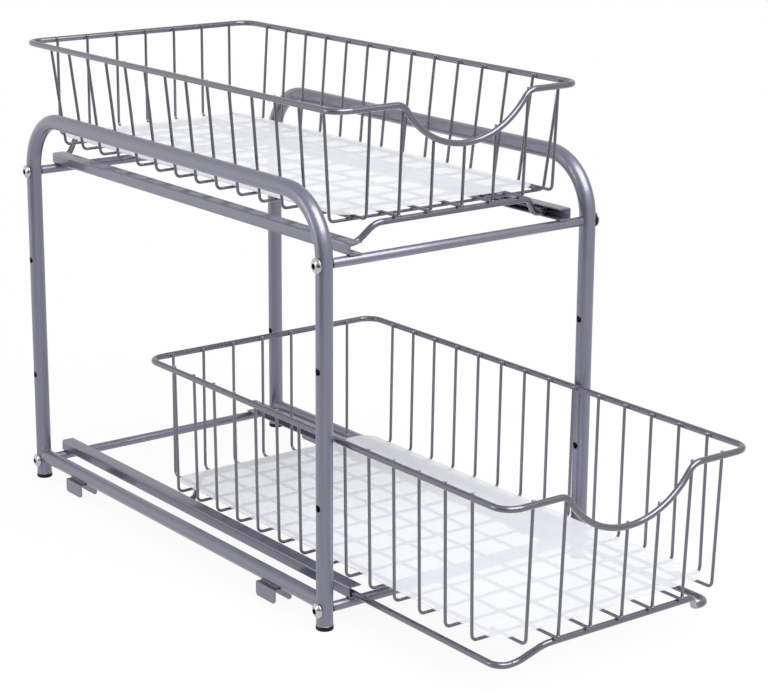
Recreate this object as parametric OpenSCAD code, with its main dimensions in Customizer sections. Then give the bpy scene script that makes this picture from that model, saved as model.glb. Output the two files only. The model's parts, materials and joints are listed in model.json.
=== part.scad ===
// Two-tier steel storage shelf: a bent-tube frame with two wire baskets that slide in channels.
// X runs left to right, Y from front to back, Z up from the floor. All sizes are in millimetres.

/* [Frame] */
// Distance between the left and right frame tubes, centre to centre
frame_w = 248; // [220:1:300]
// Distance between the front and rear legs, centre to centre
frame_d = 424; // [360:1:480]
// Height of the top bar's centre line above the floor
top_bar_h = 322; // [312:1:360]
// Outside diameter of the frame tube
tube_d = 12.7; // [12.4:0.1:14]
// Wall of the frame tube and of the side rails
tube_wall = 1; // [0.8:0.1:1.4]
// Centre line radius of the frame tube's two bends
tube_bend_r = 45.5; // [30:0.5:48]
// Height of the side rail's centre line
rail_h = 20.1; // [19:0.1:30]
// Outside diameter of the side rail
rail_d = 11.7; // [8:0.1:11.9]

/* [Feet] */
// Height of the foot cap that shows below the tube
foot_h = 3.5; // [3:0.1:5]
// How far the foot cap stands out past the tube
foot_over = 0.3; // [0.1:0.1:1]
// Chamfer round the foot cap's lower edge
foot_chamfer = 0.6; // [0.3:0.1:1]
// Length of the plug inside the tube
plug_l = 8; // [5:0.5:9]

/* [Stacking clips] */
// Length of a clip along the rail
clip_l = 25; // [18:0.5:34]
// Height of a clip's cheeks, with its web
clip_h = 11.2; // [8:0.1:12]
// Sheet of a clip
clip_t = 1.2; // [0.8:0.1:1.6]
// Rounding of a cheek's lower corners
clip_corner_r = 3; // [1:0.5:4]
// Distance of a clip's middle from the leg's centre line
clip_inset = 66; // [40:1:100]
// Room between a cheek and the top bar of a shelf below
clip_gap = 0.3; // [0.2:0.1:0.8]

/* [Tiers] */
// Height of the lower crossbars and their bolts
low_tier_h = 15.7; // [15.2:0.1:18]
// Height of the upper crossbars and their bolts
up_tier_h = 274.3; // [240:0.1:275]
// Height of the lower row of spare holes
low_spare_h = 94.4; // [60:0.1:130]
// Height of the upper row of spare holes
up_spare_h = 196.8; // [150:0.1:220]
// Diameter of the bolt holes in the legs
bolt_hole_d = 5.5; // [5.2:0.1:6]
// Diameter of a crossbar
bar_d = 7.5; // [7:0.1:9]

/* [Bolts] */
// Diameter of a bolt's shank
bolt_d = 5; // [4:0.1:5.1]
// Length of the shank inside the crossbar
bolt_grip = 15; // [10:0.5:25]
// Diameter of a bolt's domed head
head_d = 11.4; // [9:0.1:13]
// Height of a bolt's domed head
head_h = 3.3; // [2.6:0.1:4]
// Height of the straight edge below the dome
head_edge = 0.8; // [0.4:0.1:1.2]
// Size of the hex socket across its flats
socket_w = 4; // [3:0.1:5]
// Depth of the hex socket
socket_depth = 2; // [1:0.1:2.4]

/* [Channels] */
// Distance between the outer faces of a tier's two channels
chan_span = 208; // [184:1:214]
// Width of a channel's flanges, with the web
chan_w = 11; // [9:0.5:14]
// Sheet of a channel
chan_t = 1; // [0.8:0.1:1.4]
// How far a channel stands out past the leg's centre line, front and rear
chan_over = 3; // [0:0.5:6]
// Outer rounding of a channel's two folded edges
chan_fold_r = 1.6; // [1.5:0.1:2.4]
// Room under the runner
runner_lift = 0.3; // [0.2:0.1:0.8]
// Room above the runner
runner_headroom = 2.1; // [0.5:0.1:4]
// Room between the runner and the channel's web
runner_side_gap = 0.5; // [0.3:0.1:1.5]

/* [Baskets] */
// Length of a basket's rim, front to rear, along its centre line
basket_l = 448.5; // [400:0.5:480]
// Height of the upper basket's rim above its crossbars
up_rim_h = 106.2; // [90:0.1:140]
// Height of the lower basket's rim above its crossbars
low_rim_h = 127.7; // [90:0.1:160]
// Room between the rim and the frame tubes
rim_side_gap = 1.8; // [0.8:0.1:4]
// How far the closed rim stands behind the front legs' centre line
rim_setback = 1.5; // [0:0.1:10]
// How far the lower basket is pulled out
low_pull = 189.8; // [0:0.1:260]
// Diameter of the rim wire
rim_d = 4.8; // [4:0.1:6]
// Centre line radius of the rim's corners
rim_corner_r = 13.5; // [10:0.5:15]
// Width of the dip in the front of the rim
dip_w = 130; // [90:1:140]
// Depth of the dip in the front of the rim
dip_depth = 34; // [15:0.5:45]
// Centre line radius of the dip's two shoulders
dip_shoulder_r = 12; // [8:0.5:18]
// How far the upper basket's dip and end wires sit to the right of its middle
up_end_shift = 5.2; // [-6:0.1:6]
// How far the lower basket's dip and end wires sit to the right of its middle
low_end_shift = -1.4; // [-6:0.1:6]

/* [Basket wires] */
// Diameter of the wall and floor wires
wire_d = 2.4; // [2:0.1:3]
// Radius of the bend between wall and floor
wire_bend_r = 4.4; // [3:0.1:6]
// How far a wall wire's cut end stands above the rim's centre line
wire_top = 1.6; // [0.5:0.1:3]
// Height of the wires across the floor above the crossbars
floor_lift = 22.8; // [22:0.1:32]
// How far each side wall of the upper basket leans in from rim to floor
up_side_lean = 8.8; // [0:0.1:10]
// How far each side wall of the lower basket leans in from rim to floor
low_side_lean = 1.6; // [0:0.1:10]
// Distance between the upper basket's side wires at the rim
up_side_pitch = 30.2; // [25:0.1:34]
// Distance between the upper basket's side wires at the floor
up_floor_pitch = 29.4; // [24:0.1:34]
// Distance between the lower basket's side wires
low_side_pitch = 28.8; // [25:0.1:34]
// How far the middle of the upper basket's side wires is in front of the rim's middle
up_side_shift = 9; // [-9:0.5:9]
// How far the middle of the lower basket's side wires is in front of the rim's middle
low_side_shift = -2; // [-9:0.5:9]
// Least distance of a side wire from the end of the rim, before the shift
side_margin = 26; // [26:0.5:40]
// Distance between wires in the front and rear walls
end_pitch = 29.3; // [26:0.1:34]
// Least distance of an end wire from the side of the rim
end_margin = 25; // [24:0.5:32]
// Sideways step from the floor wires to the front wires
end_step = 4.6; // [4:0.1:10]
// How far the floor wires stand out past the front crossing
floor_cut_over = 3; // [1.5:0.1:5]
// Length of the corner wires' feet on the floor
corner_foot_l = 36; // [30:0.5:50]

/* [Runner] */
// Diameter of the runner wire
runner_d = 4.8; // [4:0.1:5.6]
// Distance of the upper runner's low ends from the ends of the rim
up_runner_inset = 14.8; // [12:0.1:20]
// Distance of the lower runner's low ends from the ends of the rim
low_runner_inset = 20; // [12:0.1:20]
// Centre line radius of the runner's corners
runner_corner_r = 10; // [8:0.5:11]
// Straight run of the runner between its corner and the bend up to the crossing
runner_low_run = 1; // [0.5:0.1:3]
// Centre line radius of the bends up to the crossing
rise_bend_r = 11; // [7:0.5:12]
// Slope of the runner between its low end and the crossing, in degrees
rise_angle = 54; // [46:1:60]

/* [Liner] */
// Thickness of the plastic sheet
liner_t = 1; // [0.6:0.1:2]
// Rounding of the sheet's corners
liner_corner_r = 14; // [5:0.5:20]
// Room between the sheet and each side wall, at the floor
liner_side_gap = 7.7; // [6:0.1:15]
// Distance of the sheet from the front of the rim
liner_front_gap = 21.5; // [15:0.5:30]
// Distance of the sheet from the rear of the rim
liner_rear_gap = 13.5; // [11:0.5:25]

/* [Clearances] */
// Room at a weld or a seat on a round face
weld_gap = 0.05; // [0.02:0.01:0.1]
// Room under a wire that stands on a rod
stand_gap = 0.12; // [0.1:0.01:0.2]
// How much thinner than straight wire a bend is, all round
bend_thinning = 0.02; // [0.01:0.01:0.04]
// How far straight wire reaches into a bend
bend_lap = 0.05; // [0.04:0.01:0.08]
// Room round a bolt in its tapped hole, and round a foot's plug
plug_gap = 0.05; // [0.02:0.01:0.1]

/* [Hidden] */
$fn = 48;

paint = [0.55, 0.55, 0.6];
wire_paint = [0.45, 0.45, 0.49];
chrome = [0.85, 0.85, 0.88];
black = [0.06, 0.06, 0.07];
milky = [0.93, 0.95, 0.97, 0.7];
left = -1;
right = 1;
front = -1;
rear = 1;
through = 2;

leg_x = frame_w / 2;
leg_y = frame_d / 2;
foot_d = tube_d + 2 * foot_over;
leg_run = top_bar_h - tube_bend_r - foot_h;
hole_heights = [low_tier_h, low_spare_h, up_spare_h, up_tier_h];

// Height of the channel and of the runner's centre line, above the crossbar's centre line
chan_h = runner_d + 2 * chan_t + runner_lift + runner_headroom;
chan_floor = bar_d / 2 + weld_gap + chan_t;
runner_z = chan_floor + runner_lift + runner_d / 2;
runner_x = chan_span / 2 - chan_t - runner_side_gap - runner_d / 2;

// Wires stand against the inside of the rim and cross the floor in two layers
rim_w = frame_w - tube_d - rim_d - 2 * rim_side_gap;
wire_inset = (rim_d + wire_d) / 2 + weld_gap;
cross_z = floor_lift + (wire_d - runner_d) / 2;
long_z = floor_lift + wire_d + weld_gap;
cross_inset = wire_inset + wire_bend_r;
wall_x = rim_w / 2 - wire_inset;

// The dip is three arcs that meet in line
dip_angle = 2 * atan(2 * dip_depth / dip_w);
dip_bottom_r = dip_w / 2 / sin(dip_angle) - dip_shoulder_r;
dip_arc_x = dip_bottom_r * sin(dip_angle);

// The runner rises from its low ends to a crossing under the floor wires
rise = cross_z - runner_z;
low_half = runner_x - runner_corner_r;

// Rows of wires, counted from the room that the rim leaves
end_count = floor((rim_w - 2 * end_margin) / end_pitch) + 1;
end_places = [for (i = [0:end_count - 1]) (i - (end_count - 1) / 2) * end_pitch];
up_row_y = basket_l / 2 - up_side_shift;
low_row_y = basket_l / 2 - low_side_shift;

// The origin is on the floor, below the middle of the part with the lower basket pulled out
rim_front_y = rim_setback - leg_y;
front_end = min(rim_front_y - low_pull - rim_d / 2, -leg_y - foot_d / 2, -leg_y - chan_over);
rear_end = max(rim_front_y + basket_l + rim_d / 2, leg_y + foot_d / 2, leg_y + chan_over);
origin_y = (front_end + rear_end) / 2;

// Number of steps from the middle of a row of side wires to its first wire
function half_row(pitch) = floor((basket_l - 2 * side_margin) / pitch) / 2;

// Where the floor wires beside the crossing end, past the first side wire
function outer_cut_y(row_y, pitch, floor_pitch) = row_y - half_row(pitch) * floor_pitch - floor_cut_over;

// Height of the rim's centre line along the dip, measured in the wall from the straight rim
function dip_at(x) =
    abs(x) >= dip_w / 2 ? 0 :
    abs(x) >= dip_arc_x ? sqrt(pow(dip_shoulder_r, 2) - pow(dip_w / 2 - abs(x), 2)) - dip_shoulder_r :
    dip_bottom_r - dip_depth - sqrt(pow(dip_bottom_r, 2) - pow(x, 2));

// Length of a front wire from the rim's line to its seat, and the lean that brings it there
function front_run(rim_h) =
    sqrt(pow(rim_h - cross_z - runner_d / 2 - stand_gap, 2) + pow(cross_inset, 2) - pow(wire_inset, 2));
function front_lean(rim_h) =
    atan2(cross_inset, rim_h - cross_z - runner_d / 2 - stand_gap) - atan2(wire_inset, front_run(rim_h));

// Straight run of the runner's rise, and half the crossing's straight run, for the inset of its low ends
function rise_run(inset) =
    (norm([rise, inset - cross_inset]) - 2 * rise_bend_r * (1 - cos(rise_angle))) / sin(rise_angle);
function cross_half(inset) =
    low_half - runner_low_run - 2 * rise_bend_r * sin(rise_angle) - rise_run(inset) * cos(rise_angle);

// A wire ends on the crossing where the crossing is straight
function on_crossing(x, inset) = abs(x) <= cross_half(inset);

module place() {
    translate([0, -origin_y, 0])
        children();
}

module upper_basket() {
    place()
        translate([0, rim_front_y, up_tier_h])
            children();
}

module lower_basket() {
    place()
        translate([0, rim_front_y - low_pull, low_tier_h])
            children();
}

// Sweeps a straight and a bend section along a bent path in the XY plane, from the origin along X.
// Each step is a straight run, then a turn in degrees (left is positive) at a radius.
// Straight runs reach into the bends beside them by the lap.
module bent(steps, lap, i = 0) {
    run = steps[i][0];
    turn = steps[i][1];
    radius = steps[i][2];
    side = sign(turn);
    if (run > 0 || i > 0)
        translate([-lap, 0, 0])
            rotate([0, 90, 0])
                linear_extrude(run + 2 * lap)
                    children(0);
    translate([run, 0, 0]) {
        if (turn != 0)
            translate([0, side * radius, 0])
                rotate(side > 0 ? -90 : 90 + turn)
                    rotate_extrude(angle = abs(turn))
                        translate([radius, 0])
                            children(1);
        if (i + 1 < len(steps))
            translate([radius * sin(abs(turn)), side * radius * (1 - cos(turn)), 0])
                rotate(turn)
                    bent(steps, lap, i + 1) {
                        children(0);
                        children(1);
                    }
    }
}

// A bent wire, a little thinner in its bends
module bent_wire(d, steps) {
    color(wire_paint)
        bent(steps, bend_lap) {
            circle(d = d);
            circle(d = d - 2 * bend_thinning);
        }
}

module ring(d, wall) {
    difference() {
        circle(d = d);
        circle(d = d - 2 * wall);
    }
}

// A cylinder along X from the origin
module rod_x(d, length) {
    rotate([0, 90, 0])
        cylinder(d = d, h = length);
}

// A square in the first quadrant with rounded corners, chosen by flags from the lower left, turning left
module soft_square(size, r, flags) {
    corners = [[0, 0], [1, 0], [1, 1], [0, 1]];
    difference() {
        square(size);
        for (k = [0:3])
            if (flags[k] == 1)
                translate([corners[k][0] * size[0], corners[k][1] * size[1]])
                    rotate(90 * k)
                        difference() {
                            translate([-r, -r])
                                square(2 * r);
                            translate([r, r])
                                circle(r);
                            translate([r, -r])
                                square([r, 3 * r]);
                            translate([-r, r])
                                square([3 * r, r]);
                        }
    }
}

module frame_tube(side) {
    leg_path = [
        [leg_run, 90, tube_bend_r],
        [frame_d - 2 * tube_bend_r, 90, tube_bend_r],
        [leg_run, 0, 0]
    ];
    color(paint)
        place()
            translate([side * leg_x, 0, 0])
                difference() {
                    translate([0, -leg_y, foot_h])
                        rotate([90, 0, -90])
                            rotate(90)
                                bent(leg_path, 0) {
                                    ring(tube_d, tube_wall);
                                    ring(tube_d, tube_wall);
                                }
                    for (y = [-leg_y, leg_y], z = hole_heights)
                        translate([-tube_d / 2 - through, y, z])
                            rod_x(bolt_hole_d, tube_d + 2 * through);
                }
}

module side_rail(side) {
    color(paint)
        place()
            translate([side * leg_x, 0, 0])
                difference() {
                    translate([0, leg_y, rail_h])
                        rotate([90, 0, 0])
                            linear_extrude(frame_d)
                                ring(rail_d, tube_wall);
                    for (y = [-leg_y, leg_y])
                        translate([0, y, rail_h - rail_d])
                            cylinder(d = tube_d + 2 * weld_gap, h = 2 * rail_d);
                }
}

module clip(side, depth) {
    clip_w = tube_d + 2 * clip_gap + 2 * clip_t;
    clip_top = rail_h - rail_d / 2 - weld_gap;
    color(paint)
        place()
            translate([side * leg_x, depth * (leg_y - clip_inset), clip_top]) {
                translate([-clip_w / 2, -clip_l / 2, -clip_t])
                    cube([clip_w, clip_l, clip_t]);
                for (x = [-clip_w / 2, clip_w / 2 - clip_t])
                    translate([x, -clip_l / 2, -clip_h])
                        rotate([90, 0, 90])
                            linear_extrude(clip_t)
                                soft_square([clip_l, clip_h - clip_t], clip_corner_r, [1, 1, 0, 0]);
            }
}

module foot(side, depth) {
    color(black)
        place()
            translate([side * leg_x, depth * leg_y, 0]) {
                cylinder(d1 = foot_d - 2 * foot_chamfer, d2 = foot_d, h = foot_chamfer);
                translate([0, 0, foot_chamfer])
                    cylinder(d = foot_d, h = foot_h - foot_chamfer);
                translate([0, 0, foot_h])
                    cylinder(d = tube_d - 2 * tube_wall - 2 * plug_gap, h = plug_l);
            }
}

module crossbar(tier_h, depth) {
    bar_l = frame_w - tube_d - 2 * weld_gap;
    color(paint)
        place()
            translate([-bar_l / 2, depth * leg_y, tier_h])
                difference() {
                    rod_x(bar_d, bar_l);
                    translate([-through, 0, 0])
                        rod_x(bolt_d + 2 * plug_gap, bolt_grip + 2 * through);
                    translate([bar_l - bolt_grip - through, 0, 0])
                        rod_x(bolt_d + 2 * plug_gap, bolt_grip + 2 * through);
                }
}

module channel(tier_h, side) {
    chan_l = frame_d + 2 * chan_over;
    inside = [chan_w, chan_h - 2 * chan_t];
    color(paint)
        place()
            translate([side * chan_span / 2, chan_l / 2, tier_h + bar_d / 2 + weld_gap])
                mirror([side > 0 ? 1 : 0, 0, 0])
                    rotate([90, 0, 0])
                        linear_extrude(chan_l)
                            difference() {
                                soft_square([chan_w, chan_h], chan_fold_r, [1, 0, 0, 1]);
                                translate([chan_t, chan_t])
                                    soft_square(inside, chan_fold_r - chan_t, [1, 0, 0, 1]);
                            }
}

// One bolt along X from its seat on the leg's outer face, head towards +X
module bolt() {
    dome_rise = head_h - head_edge;
    dome_r = (pow(head_d / 2, 2) + pow(dome_rise, 2)) / (2 * dome_rise);
    rotate([0, 90, 0])
        difference() {
            union() {
                intersection() {
                    cylinder(d = head_d, h = head_h);
                    translate([0, 0, head_h - dome_r])
                        sphere(dome_r);
                }
                translate([0, 0, -tube_d - bolt_grip])
                    cylinder(d = bolt_d, h = tube_d + bolt_grip);
            }
            translate([0, 0, head_h - socket_depth])
                cylinder(d = socket_w / cos(30), h = head_h, $fn = 6);
        }
}

module bolts(tier_h) {
    color(chrome)
        place()
            for (side = [left, right], depth = [front, rear])
                translate([side * (leg_x + tube_d / 2 + weld_gap), depth * leg_y, tier_h])
                    mirror([side < 0 ? 1 : 0, 0, 0])
                        bolt();
}

// The parts of a basket are drawn from the front of its rim's centre line, above the crossbar's centre
module rim(rim_h, end_shift) {
    end_run = (rim_w - dip_w) / 2 - rim_corner_r;
    side_run = basket_l - 2 * rim_corner_r;
    translate([end_shift + dip_w / 2, 0, rim_h])
        bent_wire(rim_d, [
            [end_run - end_shift, 90, rim_corner_r],
            [side_run, 90, rim_corner_r],
            [rim_w - 2 * rim_corner_r, 90, rim_corner_r],
            [side_run, 90, rim_corner_r],
            [end_run + end_shift, 0, 0]
        ]);
    translate([end_shift - dip_w / 2, 0, rim_h])
        rotate([90 + front_lean(rim_h), 0, 0])
            bent_wire(rim_d, [
                [0, -dip_angle, dip_shoulder_r],
                [0, 2 * dip_angle, dip_bottom_r],
                [0, -dip_angle, dip_shoulder_r]
            ]);
}

module side_wires(rim_h, side_lean, pitch, floor_pitch, row_y) {
    wall_h = rim_h - floor_lift;
    lean = atan2(side_lean, wall_h);
    setback = wire_bend_r * tan((90 - lean) / 2);
    wall_run = wall_h / cos(lean) + wire_top - setback;
    wire_path = [
        [wall_run, 90 - lean, wire_bend_r],
        [2 * (wall_x - side_lean - setback), 90 - lean, wire_bend_r],
        [wall_run, 0, 0]
    ];
    for (place_i = [-half_row(pitch):half_row(pitch)])
        translate([0, row_y + place_i * floor_pitch, floor_lift])
            rotate([90 + atan2(place_i * (floor_pitch - pitch), wall_h), 0, 0])
                translate([-wall_x - wire_top * sin(lean), wall_h + wire_top * cos(lean), 0])
                    rotate(lean - 90)
                        bent_wire(wire_d, wire_path);
}

// A wire down an end wall, bent into the floor towards the basket's middle
module end_wire(rim_h, lean, foot_l) {
    drop = (rim_h + wire_inset * sin(lean) - long_z) / cos(lean);
    setback = wire_bend_r * tan((90 - lean) / 2);
    translate([0, 0, rim_h])
        rotate([90, 0, 90])
            rotate(lean - 90)
                translate([-wire_top, wire_inset, 0])
                    bent_wire(wire_d, [
                        [drop + wire_top - setback, 90 - lean, wire_bend_r],
                        [foot_l - setback, 0, 0]
                    ]);
}

module floor_wires(rim_h, end_shift, inset, outer_y) {
    inner_y = cross_inset - floor_cut_over;
    for (place_x = end_places) {
        x = place_x + end_shift - end_step / 2;
        cut_y = on_crossing(x, inset) ? inner_y : outer_y;
        translate([x, basket_l, 0])
            mirror([0, 1, 0])
                end_wire(rim_h, 0, basket_l - wire_inset - cut_y);
    }
}

module front_wires(rim_h, end_shift, inset) {
    run = front_run(rim_h);
    for (place_x = end_places) {
        x = place_x + end_shift + end_step / 2;
        if (on_crossing(x, inset))
            color(wire_paint)
                translate([x, 0, rim_h])
                    rotate([front_lean(rim_h), 0, 0])
                        translate([0, wire_inset, -run])
                            cylinder(d = wire_d, h = run + dip_at(x - end_shift) + wire_top);
    }
}

module corner_wires(rim_h, end_shift, inset) {
    for (place_x = end_places) {
        x = place_x + end_shift + end_step / 2;
        if (!on_crossing(x, inset))
            translate([x, 0, 0])
                end_wire(rim_h, front_lean(rim_h), corner_foot_l);
    }
}

module runner(inset) {
    side_run = basket_l - 2 * inset - 2 * runner_corner_r;
    for (side = [0, 1])
        mirror([side, 0, 0])
            translate([low_half, inset, runner_z])
                bent_wire(runner_d, [[0, 90, runner_corner_r], [side_run, 90, runner_corner_r]]);
    for (end = [0, 1])
        translate([-low_half, basket_l / 2, runner_z])
            mirror([0, end, 0])
                translate([0, inset - basket_l / 2, 0])
                    rotate([90 + atan2(inset - cross_inset, rise), 0, 0])
                        bent_wire(runner_d, [
                            [runner_low_run, rise_angle, rise_bend_r],
                            [rise_run(inset), -rise_angle, rise_bend_r],
                            [2 * cross_half(inset), -rise_angle, rise_bend_r],
                            [rise_run(inset), rise_angle, rise_bend_r],
                            [runner_low_run, 0, 0]
                        ]);
}

module liner(side_lean) {
    liner_w = 2 * (wall_x - side_lean - liner_side_gap);
    liner_l = basket_l - liner_front_gap - liner_rear_gap;
    color(milky)
        translate([-liner_w / 2, liner_front_gap, long_z + wire_d / 2 + weld_gap])
            linear_extrude(liner_t)
                soft_square([liner_w, liner_l], liner_corner_r, [1, 1, 1, 1]);
}

module left_frame_tube() { frame_tube(left); }
module right_frame_tube() { frame_tube(right); }
module left_side_rail() { side_rail(left); }
module right_side_rail() { side_rail(right); }
module front_left_clip() { clip(left, front); }
module front_right_clip() { clip(right, front); }
module rear_left_clip() { clip(left, rear); }
module rear_right_clip() { clip(right, rear); }
module front_left_foot() { foot(left, front); }
module front_right_foot() { foot(right, front); }
module rear_left_foot() { foot(left, rear); }
module rear_right_foot() { foot(right, rear); }
module upper_front_crossbar() { crossbar(up_tier_h, front); }
module upper_rear_crossbar() { crossbar(up_tier_h, rear); }
module lower_front_crossbar() { crossbar(low_tier_h, front); }
module lower_rear_crossbar() { crossbar(low_tier_h, rear); }
module upper_left_channel() { channel(up_tier_h, left); }
module upper_right_channel() { channel(up_tier_h, right); }
module lower_left_channel() { channel(low_tier_h, left); }
module lower_right_channel() { channel(low_tier_h, right); }
module upper_bolts() { bolts(up_tier_h); }
module lower_bolts() { bolts(low_tier_h); }
module upper_rim() { upper_basket() rim(up_rim_h, up_end_shift); }
module upper_side_wires() {
    upper_basket()
        side_wires(up_rim_h, up_side_lean, up_side_pitch, up_floor_pitch, up_row_y);
}
module upper_floor_wires() {
    cut_y = outer_cut_y(up_row_y, up_side_pitch, up_floor_pitch);
    upper_basket()
        floor_wires(up_rim_h, up_end_shift, up_runner_inset, cut_y);
}
module upper_front_wires() { upper_basket() front_wires(up_rim_h, up_end_shift, up_runner_inset); }
module upper_corner_wires() { upper_basket() corner_wires(up_rim_h, up_end_shift, up_runner_inset); }
module upper_runner() { upper_basket() runner(up_runner_inset); }
module upper_liner() { upper_basket() liner(up_side_lean); }
module lower_rim() { lower_basket() rim(low_rim_h, low_end_shift); }
module lower_side_wires() {
    lower_basket()
        side_wires(low_rim_h, low_side_lean, low_side_pitch, low_side_pitch, low_row_y);
}
module lower_floor_wires() {
    cut_y = outer_cut_y(low_row_y, low_side_pitch, low_side_pitch);
    lower_basket()
        floor_wires(low_rim_h, low_end_shift, low_runner_inset, cut_y);
}
module lower_front_wires() { lower_basket() front_wires(low_rim_h, low_end_shift, low_runner_inset); }
module lower_corner_wires() { lower_basket() corner_wires(low_rim_h, low_end_shift, low_runner_inset); }
module lower_runner() { lower_basket() runner(low_runner_inset); }
module lower_liner() { lower_basket() liner(low_side_lean); }

left_frame_tube();
right_frame_tube();
left_side_rail();
right_side_rail();
front_left_clip();
front_right_clip();
rear_left_clip();
rear_right_clip();
front_left_foot();
front_right_foot();
rear_left_foot();
rear_right_foot();
upper_front_crossbar();
upper_rear_crossbar();
lower_front_crossbar();
lower_rear_crossbar();
upper_left_channel();
upper_right_channel();
lower_left_channel();
lower_right_channel();
upper_bolts();
lower_bolts();
upper_rim();
upper_side_wires();
upper_floor_wires();
upper_front_wires();
upper_corner_wires();
upper_runner();
upper_liner();
lower_rim();
lower_side_wires();
lower_floor_wires();
lower_front_wires();
lower_corner_wires();
lower_runner();
lower_liner();
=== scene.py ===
"""Looks of the two-tier storage shelf: finishes, weld and edge detail, studio light and camera."""
import json
import math

import bmesh
import bpy
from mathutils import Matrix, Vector, noise


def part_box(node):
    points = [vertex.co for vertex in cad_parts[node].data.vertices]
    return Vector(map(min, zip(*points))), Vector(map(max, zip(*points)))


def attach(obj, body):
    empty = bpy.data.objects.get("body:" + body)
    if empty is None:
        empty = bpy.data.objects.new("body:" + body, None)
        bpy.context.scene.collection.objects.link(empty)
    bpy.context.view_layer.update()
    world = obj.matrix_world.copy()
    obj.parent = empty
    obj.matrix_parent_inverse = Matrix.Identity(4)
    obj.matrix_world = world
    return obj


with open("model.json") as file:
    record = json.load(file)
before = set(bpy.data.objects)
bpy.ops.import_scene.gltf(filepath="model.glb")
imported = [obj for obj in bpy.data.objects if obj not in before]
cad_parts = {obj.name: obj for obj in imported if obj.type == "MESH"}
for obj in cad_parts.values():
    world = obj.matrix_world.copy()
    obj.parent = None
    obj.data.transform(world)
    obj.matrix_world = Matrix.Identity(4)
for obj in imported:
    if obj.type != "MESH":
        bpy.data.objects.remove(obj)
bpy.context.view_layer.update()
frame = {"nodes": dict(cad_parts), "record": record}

MM = 0.001
TIERS = ("upper", "lower")
SIDES = ("left", "right")
ENDS = ("front", "rear")
X, Y, Z = Vector((1, 0, 0)), Vector((0, 1, 0)), Vector((0, 0, 1))

# Camera, fitted to the photograph's frame of 768 by 690 pixels
PHOTO_W = 768
FOCAL_PX = 2189.2
CENTRE_SHIFT = (0.0612, -0.0436)
CAMERA_AT = Vector((-0.9941, -1.3433, 0.6327))
CAMERA_AZIMUTH = math.radians(-36.01)
CAMERA_ELEVATION = math.radians(14.73)
SENSOR_W = 36.0

# Floor: its disc, the part that keeps the full shadow, and how bright it shows
FLOOR_R = 1.0
FLOOR_DROP = 0.2 * MM
FLOOR_GREY = (0.9, 0.9, 0.9)
SHADOW_R = 0.2
FADED_R = 0.8 * FLOOR_R
WHITE_NEAR = 0.92
FLOOR_IN_METAL = 0.7

# Finishes, as linear colours, with a painted highlight and a painted shade among them
FRAME_GREY = (0.240, 0.236, 0.312)
WIRE_GREY = (0.176, 0.172, 0.218)
# Painted highlight: bright steel for the wire tops and for a ring above each foot
HIGHLIGHT_STEEL_GREY = (0.72, 0.72, 0.74)
CHROME = (0.70, 0.70, 0.73)
# Painted shade: near black, for the inside of the bolt sockets
SOCKET_SHADE_GREY = (0.012, 0.012, 0.014)
BLACK = (0.006, 0.006, 0.007)
MILKY = (0.90, 0.91, 0.96)

# The sides of the studio that show brightest and darkest in the metal, seen from the object
BRIGHT_SIDE = Vector((-0.5, 0.8, -0.33)).normalized()
DARK_SIDE = Vector((-0.93, -0.32, -0.2)).normalized()
# Cosines between which each side fades in, and the levels that the metal sees
BRIGHT_EDGE, DARK_EDGE = (0.40, 0.98), (0.81, 0.96)
STUDIO_LEVEL, BRIGHT_LEVEL, DARK_SHARE = 0.60, 0.88, 0.15
FILL_LEVEL = 0.72

# Detail sizes
WIRE_R = 1.2 * MM
WIRE_ABOVE_RIM = 1.6 * MM
RIM_NUGGET = (2.0 * MM, 0.9 * MM, 1.7 * MM)
GRID_NUGGET = Vector((1.3, 1.3, 0.6)) * MM
FOOT_NUGGET = Vector((1.9, 1.9, 1.0)) * MM
RIPPLE_PITCH = 1.3 * MM
BEAD_STEP = 0.35 * MM
SOCKET_R = 2.31 * MM
SOCKET_DEPTH = 2.0 * MM
SOCKET_WALL = 0.25 * MM
SOCKET_CLEAR = 0.02 * MM
SOCKET_LIP = 0.08 * MM
SOCKET_BEVEL = 0.12 * MM
DOME_DROP = 0.27 * MM
COPE_BEAD_R = 0.6 * MM
EDGE_BEAD_R, EDGE_INSET, EDGE_LIFT = 0.28 * MM, 0.15 * MM, 0.1 * MM
CLIP_BEAD_R, CLIP_BEAD_HALF, CLIP_SEAM = 0.66 * MM, 11.5 * MM, 3.4 * MM
CHANNEL_BEAD_R, CHANNEL_BEAD_INSET, CHANNEL_SEAM = 0.45 * MM, 0.8 * MM, 2.0 * MM
SHEET_EDGE, BAR_EDGE, FINE_EDGE = 0.25 * MM, 0.4 * MM, 0.2 * MM

# Unevenness of welds and cut ends
LUMP_SWELL, LUMP_GRAIN, LUMP_STEP = 0.3, 1.3, Vector((3.1, 1.7, 0.9))
RIPPLE_DEPTH, BEAD_SWELL, BEAD_GRAIN = 0.13, 0.2, 400
TAPER_START, TAPER_STEP = 0.45, 0.25
CUT_PROFILE = ((0.99, -0.10), (0.99, 0.05), (0.86, 0.13), (0.45, 0.16))
CUT_TILT, CUT_TURN = 0.06, 2.4

# Reading the solids: points this close are one, and which faces close a wire's end
SAME_POINT = 1e-6
CAP_FACING = 0.9
CAP_DEPTH = 0.6 * MM

# The part of a noise texture's range that its values mostly fill
NOISE_LOW, NOISE_HIGH = 0.3, 0.7
FLAKE_SCALE = 5200.0


def node_of(tree, kind, **sockets):
    """A shader node with its named inputs set."""
    made = tree.nodes.new(kind)
    for name, value in sockets.items():
        made.inputs[name.replace("_", " ")].default_value = value
    return made


def blank_material(name):
    """A material with its principled shader, and the tree that holds it."""
    material = bpy.data.materials.new(name)
    material.use_nodes = True
    tree = material.node_tree
    return material, tree, tree.nodes["Principled BSDF"]


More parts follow.
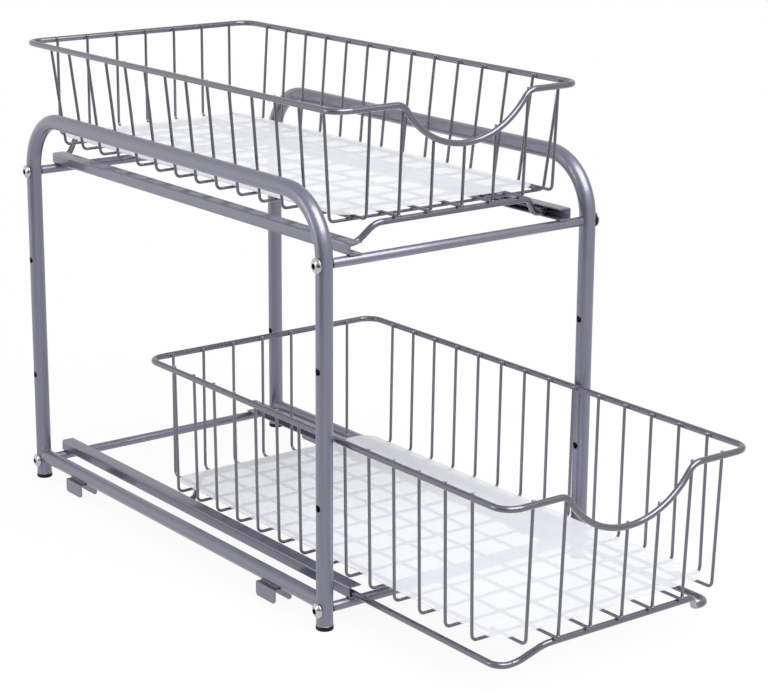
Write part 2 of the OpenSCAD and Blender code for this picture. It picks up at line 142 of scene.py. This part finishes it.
def noise_at(tree, scale, detail=2.0, roughness=0.5):
    """Noise over the part's own frame, so that it keeps its size on every node."""
    place = tree.nodes.new("ShaderNodeTexCoord")
    made = node_of(tree, "ShaderNodeTexNoise", Scale=scale, Detail=detail, Roughness=roughness)
    tree.links.new(place.outputs["Object"], made.inputs["Vector"])
    return made.outputs["Fac"]


def spread(tree, source, low, high):
    """Maps the middle of a 0 to 1 value onto low to high."""
    made = node_of(tree, "ShaderNodeMapRange", From_Min=NOISE_LOW, From_Max=NOISE_HIGH,
                   To_Min=low, To_Max=high)
    tree.links.new(source, made.inputs["Value"])
    return made.outputs["Result"]


def tint(tree, source, dark, light):
    """Blends two colours by a 0 to 1 value."""
    made = tree.nodes.new("ShaderNodeMix")
    made.data_type = "RGBA"
    made.inputs["A"].default_value = (*dark, 1)
    made.inputs["B"].default_value = (*light, 1)
    tree.links.new(source, made.inputs["Factor"])
    return made.outputs["Result"]


def shade(colour, factor):
    """The colour, darker or lighter by a factor."""
    return tuple(channel * factor for channel in colour)


def bump(tree, height, strength, distance, onto=None):
    """A bumped normal from a height, on top of another bump if there is one."""
    made = node_of(tree, "ShaderNodeBump", Strength=strength, Distance=distance)
    tree.links.new(height, made.inputs["Height"])
    if onto is not None:
        tree.links.new(onto, made.inputs["Normal"])
    return made.outputs["Normal"]


def satin_paint(name, colour, metallic, roughness, gloss, peel_depth):
    """Silver-grey metallic paint: slow cloudiness, fine flake and a slight orange peel."""
    material, tree, shader = blank_material(name)
    cloud = spread(tree, noise_at(tree, 22.0, 3.0), 0.0, 1.0)
    base = tint(tree, cloud, shade(colour, 0.94), shade(colour, 1.06))
    flake = spread(tree, noise_at(tree, FLAKE_SCALE, 1.0), 0.0, 1.0)
    sparkle = tint(tree, flake, shade(colour, 0.9), shade(colour, 1.12))
    mixed = tree.nodes.new("ShaderNodeMix")
    mixed.data_type = "RGBA"
    mixed.inputs["Factor"].default_value = 0.5
    tree.links.new(base, mixed.inputs["A"])
    tree.links.new(sparkle, mixed.inputs["B"])
    tree.links.new(mixed.outputs["Result"], shader.inputs["Base Color"])
    rough = spread(tree, noise_at(tree, 260.0, 2.0), roughness - 0.04, roughness + 0.05)
    tree.links.new(rough, shader.inputs["Roughness"])
    peel = bump(tree, noise_at(tree, 700.0, 1.0), 0.06, peel_depth)
    grain = bump(tree, noise_at(tree, FLAKE_SCALE, 1.0), 0.04, 0.1 * peel_depth, onto=peel)
    tree.links.new(grain, shader.inputs["Normal"])
    shader.inputs["Metallic"].default_value = metallic
    shader.inputs["Coat Weight"].default_value = 1.0
    shader.inputs["Coat Roughness"].default_value = 0.09
    shader.inputs["Coat IOR"].default_value = gloss
    return material


def bright_metal(name, colour, roughness):
    """Bare or plated metal with faint cloudiness and fine scratches."""
    material, tree, shader = blank_material(name)
    cloud = spread(tree, noise_at(tree, 420.0, 3.0), 0.0, 1.0)
    tree.links.new(tint(tree, cloud, shade(colour, 0.93), colour), shader.inputs["Base Color"])
    rough = spread(tree, noise_at(tree, 1600.0, 2.0), roughness * 0.7, roughness * 1.4)
    tree.links.new(rough, shader.inputs["Roughness"])
    tree.links.new(bump(tree, noise_at(tree, 2400.0, 2.0), 0.03, 0.0001), shader.inputs["Normal"])
    shader.inputs["Metallic"].default_value = 1.0
    return material


def black_plastic(name):
    """Moulded foot caps: matt black with a fine spark-eroded grain."""
    material, tree, shader = blank_material(name)
    cloud = spread(tree, noise_at(tree, 300.0, 2.0), 0.0, 1.0)
    tree.links.new(tint(tree, cloud, BLACK, shade(BLACK, 2.2)), shader.inputs["Base Color"])
    rough = spread(tree, noise_at(tree, 2600.0, 2.0), 0.42, 0.58)
    tree.links.new(rough, shader.inputs["Roughness"])
    tree.links.new(bump(tree, noise_at(tree, 3800.0, 2.0), 0.15, 0.0001), shader.inputs["Normal"])
    shader.inputs["Specular IOR Level"].default_value = 0.25
    return material


def milky_sheet(name):
    """Translucent plastic sheet: lets the wires under it show faintly."""
    material, tree, shader = blank_material(name)
    cloud = spread(tree, noise_at(tree, 30.0, 2.0), 0.0, 1.0)
    tree.links.new(tint(tree, cloud, shade(MILKY, 0.985), MILKY), shader.inputs["Base Color"])
    rough = spread(tree, noise_at(tree, 700.0, 2.0), 0.30, 0.38)
    tree.links.new(rough, shader.inputs["Roughness"])
    tree.links.new(bump(tree, noise_at(tree, 160.0, 2.0), 0.04, 0.0004), shader.inputs["Normal"])
    shader.inputs["Alpha"].default_value = 0.60
    return material


MATERIALS = {
    "frame_paint": satin_paint("frame_paint_look", FRAME_GREY, metallic=0.80, roughness=0.37,
                               gloss=1.5, peel_depth=0.25 * MM),
    "wire_paint": satin_paint("wire_paint_look", WIRE_GREY, metallic=0.90, roughness=0.25,
                              gloss=1.6, peel_depth=0.08 * MM),
    "bolt_chrome": bright_metal("bolt_chrome_look", CHROME, 0.10),
    "foot_plastic": black_plastic("foot_plastic_look"),
    "liner_plastic": milky_sheet("liner_plastic_look"),
}
# Painted highlight: bright steel on the wire ends and on a ring above each foot
HIGHLIGHT_STEEL_LOOK = bright_metal("steel_highlight_look", HIGHLIGHT_STEEL_GREY, 0.32)
# Painted shade: a near-black lining for the bolt sockets
SOCKET_SHADE_LOOK = bright_metal("socket_shade_look", SOCKET_SHADE_GREY, 0.40)


def finish_nodes():
    """Gives every solid its finish."""
    slots = {row["node"]: row["material_slot"] for row in frame["record"]["subparts"]}
    for name, solid in frame["nodes"].items():
        solid.data.materials.clear()
        solid.data.materials.append(MATERIALS[slots[name]])


def soften_edges(name, width):
    """Breaks the sharp edges of a solid, so that they catch the light."""
    solid = frame["nodes"][name]
    weld = solid.modifiers.new("join", "WELD")
    weld.merge_threshold = SAME_POINT
    bevel = solid.modifiers.new("soften", "BEVEL")
    bevel.width = width
    bevel.segments = 2
    bevel.limit_method = "ANGLE"
    bevel.angle_limit = math.radians(40)


def piece_of(name, form, body, material):
    """Turns a form into a smooth piece that rides on a body."""
    bmesh.ops.recalc_face_normals(form, faces=form.faces)
    mesh = bpy.data.meshes.new(name)
    form.to_mesh(mesh)
    form.free()
    for face in mesh.polygons:
        face.use_smooth = True
    mesh.materials.append(material)
    piece = bpy.data.objects.new(name, mesh)
    bpy.context.collection.objects.link(piece)
    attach(piece, body)
    return piece


def skin(form, rings, closed=False):
    """Faces between rings of points, with a fan on the first and last ring unless they close."""
    pairs = list(zip(rings, rings[1:]))
    if closed:
        pairs.append((rings[-1], rings[0]))
    for low, high in pairs:
        for i in range(len(low)):
            j = (i + 1) % len(low)
            form.faces.new((low[i], low[j], high[j], high[i]))
    if not closed:
        for ring in (rings[0], rings[-1]):
            middle = form.verts.new(sum((point.co for point in ring), Vector()) / len(ring))
            for i in range(len(ring)):
                form.faces.new((ring[i], ring[(i + 1) % len(ring)], middle))


def lump(form, centre, half, seed, rows=6, columns=10):
    """A weld nugget: an uneven button with its half sizes along X, Y and Z."""
    rings = []
    for row in range(rows):
        polar = math.pi * (row + 0.5) / rows
        ring = []
        for column in range(columns):
            turn = 2 * math.pi * column / columns
            unit = Vector((math.sin(polar) * math.cos(turn),
                           math.sin(polar) * math.sin(turn), math.cos(polar)))
            swell = 1 + LUMP_SWELL * noise.noise(unit * LUMP_GRAIN + LUMP_STEP * seed)
            ring.append(form.verts.new(centre + Vector(u * h * swell for u, h in zip(unit, half))))
        rings.append(ring)
    skin(form, rings)


def bead(form, path, radius, reference, seed, closed=False, sides=10):
    """A weld bead along a path: rippled, uneven, and tapered at open ends."""
    rings = []
    for i, point in enumerate(path):
        after = path[(i + 1) % len(path)] if closed or i + 1 < len(path) else point
        before = path[i - 1] if closed or i > 0 else point
        along = (after - before).normalized()
        across = along.cross(reference).normalized()
        lift = across.cross(along)
        ripple = 1 + RIPPLE_DEPTH * math.sin(2 * math.pi * i * BEAD_STEP / RIPPLE_PITCH)
        size = radius * (ripple + BEAD_SWELL * noise.noise(point * BEAD_GRAIN + X * seed))
        if not closed:
            size *= min(1.0, TAPER_START + TAPER_STEP * min(i, len(path) - 1 - i))
        turns = [2 * math.pi * k / sides for k in range(sides)]
        spokes = [across * math.cos(turn) + lift * math.sin(turn) for turn in turns]
        rings.append([form.verts.new(point + size * spoke) for spoke in spokes])
    skin(form, rings, closed)


def line(start, end):
    """Points along a straight bead, one bead step apart."""
    count = max(4, round((end - start).length / BEAD_STEP))
    return [start.lerp(end, i / count) for i in range(count + 1)]


def cut_end(form, centre, axis, radius, seed, sides=14):
    """A sheared wire end: a shallow button, a little higher on one side."""
    across = axis.orthogonal().normalized()
    other = axis.cross(across)
    rings = []
    for reach, height in CUT_PROFILE:
        ring = []
        for k in range(sides):
            turn = 2 * math.pi * k / sides
            tilt = CUT_TILT * reach * math.cos(turn + CUT_TURN * seed)
            spoke = across * math.cos(turn) + other * math.sin(turn)
            rise = (height + tilt) * MM * axis
            ring.append(form.verts.new(centre + radius * reach * spoke + rise))
        rings.append(ring)
    skin(form, rings)


def joined_form(name):
    """A solid's mesh with its split points joined."""
    form = bmesh.new()
    form.from_mesh(frame["nodes"][name].data)
    bmesh.ops.remove_doubles(form, verts=form.verts, dist=SAME_POINT)
    return form


def separate_solids(form):
    """The groups of faces that hang together, in the order of their first face."""
    groups = []
    for face in form.faces:
        face.tag = False
    for first in form.faces:
        if first.tag:
            continue
        first.tag = True
        group, fresh = [], [first]
        while fresh:
            face = fresh.pop()
            group.append(face)
            for edge in face.edges:
                for other in edge.link_faces:
                    if not other.tag:
                        other.tag = True
                        fresh.append(other)
        groups.append(group)
    return groups


def wire_ends(name, facing):
    """Middle and direction of the cut ends that face a way, for each wire of a node."""
    form = joined_form(name)
    found = []
    for group in separate_solids(form):
        reach = max(face.calc_center_median().dot(facing) for face in group)
        caps = [face for face in group if face.normal.dot(facing) > CAP_FACING
                and face.calc_center_median().dot(facing) > reach - CAP_DEPTH]
        clusters = []
        for face in caps:
            at = face.calc_center_median()
            near = [c for c in clusters if (c[0].calc_center_median() - at).length < 4 * WIRE_R]
            if near:
                near[0].append(face)
            else:
                clusters.append([face])
        for cluster in clusters:
            area = sum(face.calc_area() for face in cluster)
            moment = sum((face.calc_center_median() * face.calc_area() for face in cluster),
                         Vector())
            found.append((moment / area, cluster[0].normal.copy()))
    form.free()
    return found


def floor_runs(name):
    """Lowest stretch of each wire of a node, as its lowest and highest corner."""
    form = joined_form(name)
    runs = []
    for group in separate_solids(form):
        points = [vert.co for face in group for vert in face.verts]
        low = min(point.z for point in points)
        flat = [point for point in points if point.z < low + 2 * WIRE_R + 0.01 * MM]
        runs.append((Vector(min(p[i] for p in flat) for i in range(3)),
                     Vector(max(p[i] for p in flat) for i in range(3))))
    form.free()
    return runs


def dress_basket(tier):
    """Weld nuggets where the wires meet, and the sheared ends of the wires in bright steel as a
    painted highlight.
    """
    body = tier + "_basket"
    nuggets, cuts = bmesh.new(), bmesh.new()
    along, out_half, up = RIM_NUGGET
    seed = 0
    for kind, outward in (("side_wires", None), ("floor_wires", Y),
                          ("front_wires", -Y), ("corner_wires", -Y)):
        for end, facing in wire_ends(f"{tier}_{kind}", Z):
            seed += 1
            out = outward or X * math.copysign(1, end.x)
            half = (along, out_half, up) if outward else (out_half, along, up)
            lump(nuggets, end - WIRE_ABOVE_RIM * Z + WIRE_R * out, half, seed)
            cut_end(cuts, end, facing, WIRE_R, seed)
    for end, facing in wire_ends(f"{tier}_front_wires", -Z):
        seed += 1
        lump(nuggets, end, FOOT_NUGGET, seed)
    seam_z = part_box(f"{tier}_floor_wires")[0].z
    runner = frame["nodes"][f"{tier}_runner"].data
    crossing = [vert.co for vert in runner.vertices if vert.co.z > seam_z - 0.2 * MM]
    middle_y = sum(point.y for point in crossing) / len(crossing)
    reach = max(abs(point.x) for point in crossing)
    rows = [(low.y + high.y) / 2 for low, high in floor_runs(f"{tier}_side_wires")]
    bars = []
    for half in ([p.y for p in crossing if p.y < middle_y],
                 [p.y for p in crossing if p.y >= middle_y]):
        bars.append((min(half) + max(half)) / 2)
    for kind in ("floor_wires", "corner_wires"):
        for low, high in floor_runs(f"{tier}_{kind}"):
            x = (low.x + high.x) / 2
            met = rows + [y for y in bars if abs(x) < reach]
            for y in met:
                if low.y < y < high.y:
                    seed += 1
                    lump(nuggets, Vector((x, y, seam_z)), GRID_NUGGET, seed)
    piece_of(f"{tier}_wire_welds", nuggets, body, MATERIALS["wire_paint"])
    # The wire ends in bright steel: a painted highlight for the glints at the wire tops
    piece_of(f"{tier}_wire_ends", cuts, body, HIGHLIGHT_STEEL_LOOK)


def dress_frame():
    """Welds of rails, clips and channels, a bright steel ring above each foot as a painted
    highlight, and painted shade in the bolt sockets.
    """
    welds, edges, sockets = bmesh.new(), bmesh.new(), bmesh.new()
    seed = 0
    for side in SIDES:
        low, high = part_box(f"{side}_frame_tube")
        leg_x, leg_r = (low.x + high.x) / 2, (high.x - low.x) / 2
        rail_low, rail_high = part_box(f"{side}_side_rail")
        rail_z, rail_r = (rail_low.z + rail_high.z) / 2, (rail_high.z - rail_low.z) / 2
        steps = round(2 * math.pi * rail_r / BEAD_STEP)
        turns = [2 * math.pi * i / steps for i in range(steps)]
        for leg_y, inward in ((low.y + leg_r, 1), (high.y - leg_r, -1)):
            seed += 1
            cope = [Vector((leg_x + rail_r * math.sin(t),
                            leg_y + inward * math.sqrt(leg_r ** 2 - (rail_r * math.sin(t)) ** 2),
                            rail_z + rail_r * math.cos(t))) for t in turns]
            bead(welds, cope, COPE_BEAD_R, Y, seed, closed=True)
            # A bright steel ring round the tube's bottom edge: a painted highlight where the tube
            # catches light from the floor
            edge_r = leg_r - EDGE_INSET
            ring = [Vector((leg_x + edge_r * math.sin(t), leg_y + edge_r * math.cos(t),
                            low.z + EDGE_LIFT)) for t in turns]
            bead(edges, ring, EDGE_BEAD_R, Z, seed, closed=True)
        for end in ENDS:
            clip_low, clip_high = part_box(f"{end}_{side}_clip")
            clip_y = (clip_low.y + clip_high.y) / 2
            for over in (-CLIP_SEAM, CLIP_SEAM):
                gap = rail_z - math.sqrt(rail_r ** 2 - over ** 2) - clip_high.z
                seed += 1
                at = Vector((leg_x + over, clip_y, clip_high.z + gap / 2))
                seam = line(at - CLIP_BEAD_HALF * Y, at + CLIP_BEAD_HALF * Y)
                bead(welds, seam, CLIP_BEAD_R, Z, seed)
    for tier in TIERS:
        for end in ENDS:
            bar_low, bar_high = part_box(f"{tier}_{end}_crossbar")
            bar_y, bar_r = (bar_low.y + bar_high.y) / 2, (bar_high.z - bar_low.z) / 2
            for side in SIDES:
                channel_low, channel_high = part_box(f"{tier}_{side}_channel")
                for over in (-CHANNEL_SEAM, CHANNEL_SEAM):
                    seed += 1
                    gap = bar_r - math.sqrt(bar_r ** 2 - over ** 2)
                    z = channel_low.z - gap / 2
                    seam = line(Vector((channel_low.x + CHANNEL_BEAD_INSET, bar_y + over, z)),
                                Vector((channel_high.x - CHANNEL_BEAD_INSET, bar_y + over, z)))
                    bead(welds, seam, CHANNEL_BEAD_R, Z, seed)
        bolts = joined_form(f"{tier}_bolts")
        for group in separate_solids(bolts):
            points = [vert.co for face in group for vert in face.verts]
            y = (min(p.y for p in points) + max(p.y for p in points)) / 2
            z = (min(p.z for p in points) + max(p.z for p in points)) / 2
            outer = max((p.x for p in points), key=abs)
            hex_shade_cup(sockets, Vector((outer, y, z)), X * math.copysign(1, outer))
        bolts.free()
    piece_of("frame_welds", welds, "frame", MATERIALS["frame_paint"])
    # Painted highlight: the bright steel rings above the feet
    piece_of("tube_edge_highlight", edges, "frame", HIGHLIGHT_STEEL_LOOK)
    # Painted shade: near-black cups inside the bolt sockets
    piece_of("bolt_socket_shade", sockets, "frame", SOCKET_SHADE_LOOK)


def hex_shade_cup(form, mouth, outward):
    """Painted shade lining a bolt's hex socket: an open six-sided cup with a wall."""
    bottom = mouth + (DOME_DROP - SOCKET_DEPTH) * outward
    outer_r, inner_r = SOCKET_R * 0.995, SOCKET_R - SOCKET_WALL
    corners = [math.pi / 3 * k for k in range(6)]
    spokes = [Z * math.cos(corner) + Y * math.sin(corner) for corner in corners]
    rings = []
    for radius, at in ((outer_r, bottom + SOCKET_CLEAR * outward),
                       (outer_r, mouth - SOCKET_LIP * outward),
                       (inner_r, mouth - SOCKET_BEVEL * outward),
                       (inner_r, bottom + SOCKET_WALL * outward)):
        rings.append([form.verts.new(at + radius * spoke) for spoke in spokes])
    skin(form, rings)


def make_camera():
    """The photograph's camera: its place, its angle and its off-centre frame."""
    data = bpy.data.cameras.new("camera")
    data.sensor_width = SENSOR_W
    data.lens = FOCAL_PX / PHOTO_W * SENSOR_W
    data.shift_x, data.shift_y = CENTRE_SHIFT
    data.clip_start = 0.05
    camera = bpy.data.objects.new("camera", data)
    bpy.context.collection.objects.link(camera)
    camera.location = CAMERA_AT
    camera.rotation_euler = (math.pi / 2 - CAMERA_ELEVATION, 0, CAMERA_AZIMUTH)
    bpy.context.scene.camera = camera


def make_world():
    """White to the camera, a soft fill, and a brighter and a darker side that show in the metal."""
    world = bpy.data.worlds.new("studio")
    bpy.context.scene.world = world
    world.use_nodes = True
    tree = world.node_tree
    tree.nodes.clear()
    path = tree.nodes.new("ShaderNodeLightPath")
    place = tree.nodes.new("ShaderNodeTexCoord")
    level = None
    for side, (start, end), plain, full in ((BRIGHT_SIDE, BRIGHT_EDGE, STUDIO_LEVEL, BRIGHT_LEVEL),
                                            (DARK_SIDE, DARK_EDGE, 1.0, DARK_SHARE)):
        towards = tree.nodes.new("ShaderNodeVectorMath")
        towards.operation = "DOT_PRODUCT"
        towards.inputs[1].default_value = side
        tree.links.new(place.outputs["Generated"], towards.inputs[0])
        patch = node_of(tree, "ShaderNodeMapRange", From_Min=start, From_Max=end,
                        To_Min=plain, To_Max=full)
        patch.interpolation_type = "SMOOTHSTEP"
        tree.links.new(towards.outputs["Value"], patch.inputs["Value"])
        if level is None:
            level = patch.outputs["Result"]
        else:
            both = tree.nodes.new("ShaderNodeMath")
            both.operation = "MULTIPLY"
            tree.links.new(level, both.inputs[0])
            tree.links.new(patch.outputs["Result"], both.inputs[1])
            level = both.outputs[0]
    fill = node_of(tree, "ShaderNodeBackground", Color=(1, 1, 1, 1), Strength=FILL_LEVEL)
    mirror = node_of(tree, "ShaderNodeBackground", Color=(1, 1, 1, 1))
    tree.links.new(level, mirror.inputs["Strength"])
    white = node_of(tree, "ShaderNodeBackground", Color=(1, 1, 1, 1), Strength=1.0)
    lit = tree.nodes.new("ShaderNodeMixShader")
    tree.links.new(path.outputs["Is Glossy Ray"], lit.inputs["Fac"])
    tree.links.new(fill.outputs[0], lit.inputs[1])
    tree.links.new(mirror.outputs[0], lit.inputs[2])
    through = tree.nodes.new("ShaderNodeMath")
    through.operation = "MAXIMUM"
    tree.links.new(path.outputs["Is Camera Ray"], through.inputs[0])
    tree.links.new(path.outputs["Is Transmission Ray"], through.inputs[1])
    seen = tree.nodes.new("ShaderNodeMixShader")
    tree.links.new(through.outputs[0], seen.inputs["Fac"])
    tree.links.new(lit.outputs[0], seen.inputs[1])
    tree.links.new(white.outputs[0], seen.inputs[2])
    out = tree.nodes.new("ShaderNodeOutputWorld")
    tree.links.new(seen.outputs[0], out.inputs["Surface"])


def soft_box(name, place, aim, size, watts):
    """A rectangular studio lamp that points at a place."""
    data = bpy.data.lights.new(name, "AREA")
    data.shape = "RECTANGLE"
    data.size, data.size_y = size
    data.energy = watts
    lamp = bpy.data.objects.new(name, data)
    bpy.context.collection.objects.link(lamp)
    lamp.location = place
    lamp.rotation_euler = (Vector(aim) - Vector(place)).to_track_quat("-Z", "Y").to_euler()


def make_floor():
    """A pale round floor that keeps the shadow near the object and fades to white around it."""
    sides = 96
    turns = [2 * math.pi * i / sides for i in range(sides)]
    rim = [(FLOOR_R * math.cos(turn), FLOOR_R * math.sin(turn), 0) for turn in turns]
    mesh = bpy.data.meshes.new("floor")
    mesh.from_pydata(rim, [], [tuple(range(sides))])
    floor = bpy.data.objects.new("floor", mesh)
    bpy.context.collection.objects.link(floor)
    floor.location.z = -FLOOR_DROP
    material, tree, shader = blank_material("floor_look")
    shader.inputs["Base Color"].default_value = (*FLOOR_GREY, 1)
    shader.inputs["Roughness"].default_value = 0.9
    shader.inputs["Specular IOR Level"].default_value = 0.0
    path = tree.nodes.new("ShaderNodeLightPath")
    white = node_of(tree, "ShaderNodeEmission", Color=(1, 1, 1, 1))
    place = tree.nodes.new("ShaderNodeTexCoord")
    away = tree.nodes.new("ShaderNodeVectorMath")
    away.operation = "LENGTH"
    tree.links.new(place.outputs["Object"], away.inputs[0])
    fade = node_of(tree, "ShaderNodeMapRange", From_Min=SHADOW_R, From_Max=FADED_R,
                   To_Min=WHITE_NEAR, To_Max=1.0)
    fade.interpolation_type = "SMOOTHSTEP"
    tree.links.new(away.outputs["Value"], fade.inputs["Value"])
    mirrored = node_of(tree, "ShaderNodeMapRange", To_Min=1.0, To_Max=FLOOR_IN_METAL)
    tree.links.new(path.outputs["Is Glossy Ray"], mirrored.inputs["Value"])
    tree.links.new(mirrored.outputs["Result"], white.inputs["Strength"])
    looked_at = path.outputs["Is Camera Ray"]
    for ray in ("Is Glossy Ray", "Is Transmission Ray"):
        either = tree.nodes.new("ShaderNodeMath")
        either.operation = "MAXIMUM"
        tree.links.new(looked_at, either.inputs[0])
        tree.links.new(path.outputs[ray], either.inputs[1])
        looked_at = either.outputs[0]
    seen = tree.nodes.new("ShaderNodeMath")
    seen.operation = "MULTIPLY"
    tree.links.new(looked_at, seen.inputs[0])
    tree.links.new(fade.outputs["Result"], seen.inputs[1])
    mixed = tree.nodes.new("ShaderNodeMixShader")
    tree.links.new(seen.outputs[0], mixed.inputs["Fac"])
    tree.links.new(shader.outputs[0], mixed.inputs[1])
    tree.links.new(white.outputs[0], mixed.inputs[2])
    out = tree.nodes["Material Output"]
    tree.links.new(mixed.outputs[0], out.inputs["Surface"])
    mesh.materials.append(material)


bpy.context.scene.view_settings.view_transform = "Standard"
make_camera()
make_world()
make_floor()
soft_box("top_light", place=(0.1, -1.45, 2.05), aim=(0.1, -0.1, 0.18), size=(2.4, 1.7), watts=54)
soft_box("left_light", place=(-1.56, 0.51, 0.64), aim=(0.0, 0.0, 0.18), size=(0.5, 0.9), watts=3)
finish_nodes()
for side in SIDES:
    for tier in TIERS:
        soften_edges(f"{tier}_{side}_channel", SHEET_EDGE)
    for end in ENDS:
        soften_edges(f"{end}_{side}_clip", SHEET_EDGE)
        soften_edges(f"{end}_{side}_foot", SHEET_EDGE)
for tier in TIERS:
    for end in ENDS:
        soften_edges(f"{tier}_{end}_crossbar", BAR_EDGE)
    soften_edges(f"{tier}_bolts", FINE_EDGE)
    soften_edges(f"{tier}_liner", FINE_EDGE)
    dress_basket(tier)
dress_frame()
